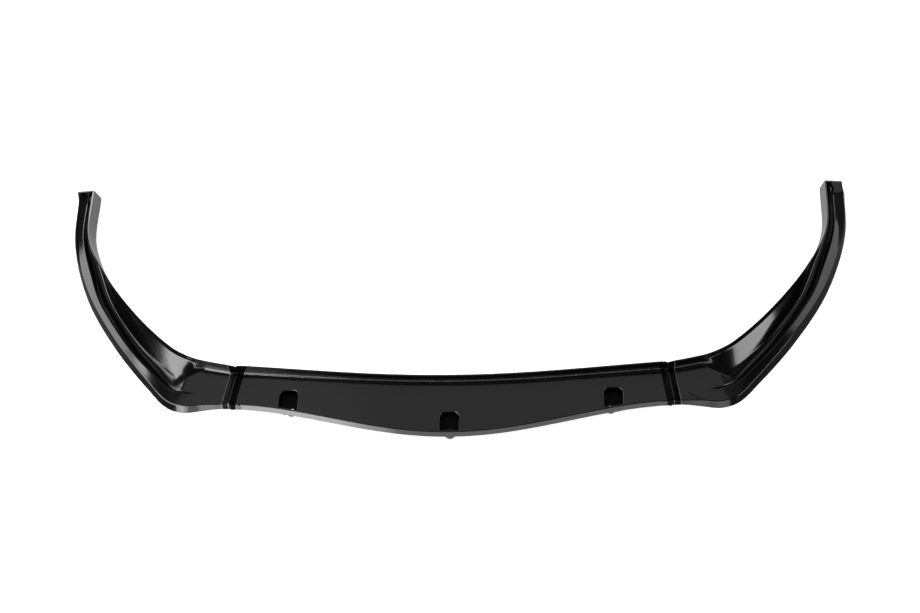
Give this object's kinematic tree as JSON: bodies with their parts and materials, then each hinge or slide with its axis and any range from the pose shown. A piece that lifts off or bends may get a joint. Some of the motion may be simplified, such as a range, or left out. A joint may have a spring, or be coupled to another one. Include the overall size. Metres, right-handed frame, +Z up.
{
  "type": "front splitter lip",
  "caption": "Moulded front splitter lip for a car bumper: a waved centre blade with screw wells and a rear flange, lapped over side wings that sweep back to closed tips.",
  "frame": {"origin": "on the ground plane, under the middle of the lip's outline", "axes": "+X to the right when the lip is seen from the front, +Y towards the rear of the car, +Z up"},
  "size_m": [1.75, 0.601, 0.0537],
  "materials": {
    "black_plastic": "satin gloss black, moulded in colour"
  },
  "bodies": {
    "root": {"centre_section": "black_plastic", "left_wing": "black_plastic", "right_wing": "black_plastic"}
  },
  "joints": []
}
